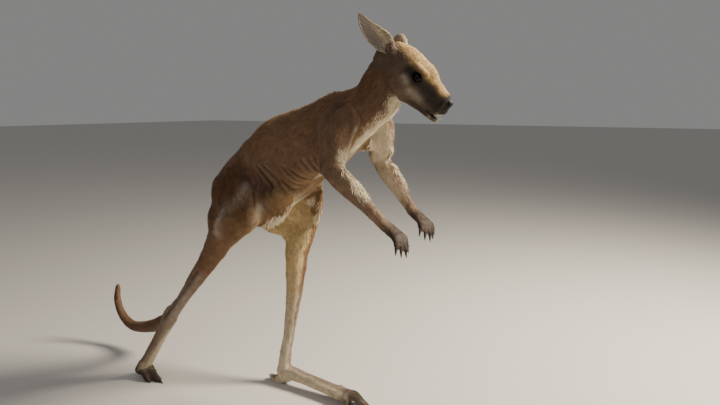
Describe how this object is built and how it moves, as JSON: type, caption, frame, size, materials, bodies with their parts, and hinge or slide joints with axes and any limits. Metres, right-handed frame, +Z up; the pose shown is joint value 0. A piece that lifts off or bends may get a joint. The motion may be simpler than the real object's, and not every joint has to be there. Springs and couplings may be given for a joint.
{
  "type": "red kangaroo model",
  "caption": "Life-size still model of an adult male red kangaroo, leaning forward on staggered hind feet with both forearms reaching down and ahead.",
  "frame": {"origin": "on the floor under the middle of the bounding box", "axes": "+X the way the animal faces, +Y its left side, +Z up"},
  "size_m": [1.564, 0.4456, 1.3114],
  "materials": {
    "coat": "short reddish-brown fur over hide",
    "eye": "polished dark brown",
    "nose": "moist black nose leather",
    "claw": "black horn, semi-matte"
  },
  "bodies": {
    "root": {"belly": "coat", "chest": "coat", "claw_fifth_toe_left": "claw", "claw_fifth_toe_right": "claw", "claw_finger1_left": "claw", "claw_finger1_right": "claw", "claw_finger2_left": "claw", "claw_finger2_right": "claw", "claw_finger3_left": "claw", "claw_finger3_right": "claw", "claw_finger4_left": "claw", "claw_finger4_right": "claw", "claw_finger5_left": "claw", "claw_finger5_right": "claw", "claw_fourth_toe_left": "claw", "claw_fourth_toe_right": "claw", "claw_second_toe_left": "claw", "claw_second_toe_right": "claw", "claw_third_toe_left": "claw", "claw_third_toe_right": "claw", "ear_left": "coat", "ear_right": "coat", "eye_left": "eye", "eye_right": "eye", "foot_left": "coat", "foot_right": "coat", "forearm_left": "coat", "forearm_right": "coat", "hand_left": "coat", "hand_right": "coat", "head": "coat", "hips": "coat", "jaw": "coat", "neck": "coat", "nose": "nose", "shank_left": "coat", "shank_right": "coat", "tail_middle": "coat", "tail_root": "coat", "tail_tip": "coat", "thigh_left": "coat", "thigh_right": "coat", "upper_arm_left": "coat", "upper_arm_right": "coat"}
  },
  "joints": []
}
